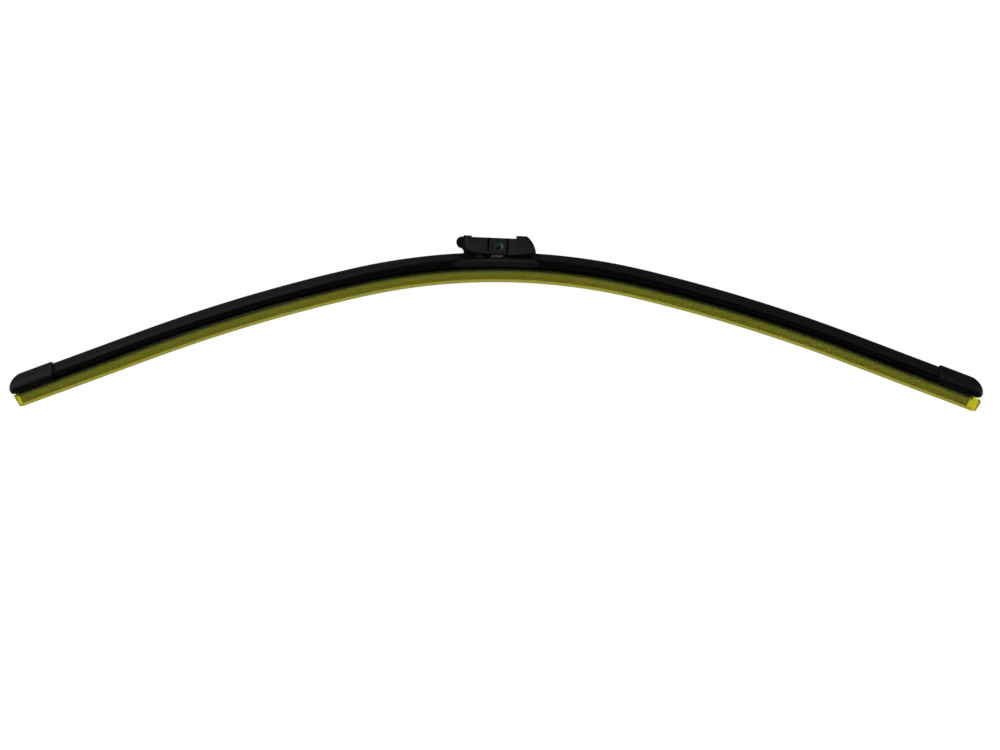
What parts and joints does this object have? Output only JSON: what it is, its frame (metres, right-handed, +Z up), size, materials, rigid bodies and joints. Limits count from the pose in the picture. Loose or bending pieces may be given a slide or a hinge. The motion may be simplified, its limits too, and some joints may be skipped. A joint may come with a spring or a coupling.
{
  "type": "wiper blade",
  "caption": "Arched flat wiper blade with spring strips, spoiler, end caps, a rocking clip-on adapter and a yellow protective sleeve over the rubber lip.",
  "frame": {"origin": "middle of the flat arm seat on top of the adapter, above the pivot pin", "axes": "+X along the blade towards the adapter's rear step, +Z up, away from the glass, +Y across the blade; the side with -Y faces the picture's camera"},
  "size_m": [0.6236, 0.018, 0.1115],
  "materials": {
    "adapter_plastic": "fine spark-eroded black moulding",
    "pin_steel": "zinc plated with a blue-green passivate",
    "bracket_steel": "pressed and folded sheet steel",
    "cover_plastic": "satin black moulding",
    "spring_steel": "dark phosphated spring steel",
    "rubber": "extruded black rubber with a graphite bloom",
    "spoiler_plastic": "extruded black elastomer with fine lengthwise die lines",
    "cap_plastic": "fine textured black moulding",
    "sleeve_plastic": "clear yellow extruded plastic"
  },
  "bodies": {
    "adapter": {"adapter": "adapter_plastic"},
    "blade": {"pivot_pin": "pin_steel", "bracket": "bracket_steel", "connector_cover": "cover_plastic", "flexor_front": "spring_steel", "flexor_rear": "spring_steel", "rubber_element": "rubber", "spoiler_left": "spoiler_plastic", "spoiler_right": "spoiler_plastic", "end_cap_left": "cap_plastic", "end_cap_right": "cap_plastic", "protective_sleeve": "sleeve_plastic"}
  },
  "joints": [
    {"name": "adapter_pivot", "type": "hinge", "parent": "adapter", "child": "blade", "pos_m": [-0.00021, 0, -0.0059], "axis": [0, 1, 0], "range_deg": [-6, 8]}
  ]
}
